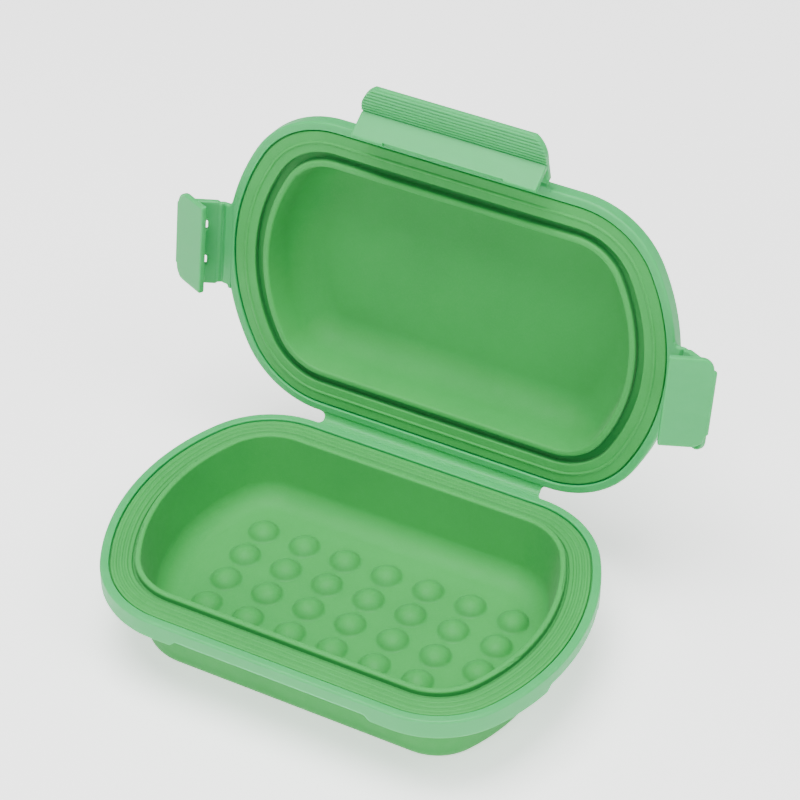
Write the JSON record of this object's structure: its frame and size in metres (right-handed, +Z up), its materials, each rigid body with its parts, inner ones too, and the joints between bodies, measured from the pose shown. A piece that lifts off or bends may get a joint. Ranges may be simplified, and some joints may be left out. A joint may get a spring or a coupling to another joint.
{
  "type": "travel soap box",
  "caption": "Hinged travel soap box: a silicone bowl with a nubbed floor and a domed silicone lid, each set in a hard rim frame, shut by fold-down clips.",
  "frame": {"origin": "centre of the underside, on the bar across the foot ring, at the level the box stands on", "axes": "+Z up, +X along the long side to the right as seen from the front, +Y towards the hinge at the back"},
  "size_m": [0.1385, 0.1035, 0.1173],
  "materials": {
    "silicone": "soft satin silicone with a fine grain",
    "frame_plastic": "satin moulded polypropylene"
  },
  "bodies": {
    "base": {"base_bowl": "silicone", "base_frame": "frame_plastic", "hinge_web": "frame_plastic"},
    "lid": {"lid_dome": "silicone", "lid_frame": "frame_plastic", "front_latch_web": "frame_plastic", "left_latch_web": "frame_plastic", "right_latch_web": "frame_plastic"},
    "front_latch": {"front_latch": "frame_plastic"},
    "left_latch": {"left_latch": "frame_plastic"},
    "right_latch": {"right_latch": "frame_plastic"}
  },
  "joints": [
    {"name": "lid_hinge", "type": "hinge", "parent": "base", "child": "lid", "pos_m": [0, 0.0405, 0.024], "axis": [1, 0, 0], "range_deg": [-76, 98.5], "deforming": ["hinge_web"]},
    {"name": "front_latch_hinge", "type": "hinge", "parent": "lid", "child": "front_latch", "pos_m": [0, 0.05322, 0.1037], "axis": [1, 0, 0], "range_deg": [-83.5, 66.5], "deforming": ["front_latch_web"]},
    {"name": "left_latch_hinge", "type": "hinge", "parent": "lid", "child": "left_latch", "pos_m": [-0.0592, 0.04709, 0.06265], "axis": [0, 0.1478, 0.989], "range_deg": [-87.5, 62.5], "deforming": ["left_latch_web"]},
    {"name": "right_latch_hinge", "type": "hinge", "parent": "lid", "child": "right_latch", "pos_m": [0.0592, 0.04709, 0.06265], "axis": [0, -0.1478, -0.989], "range_deg": [-88.5, 61.5], "deforming": ["right_latch_web"]}
  ]
}
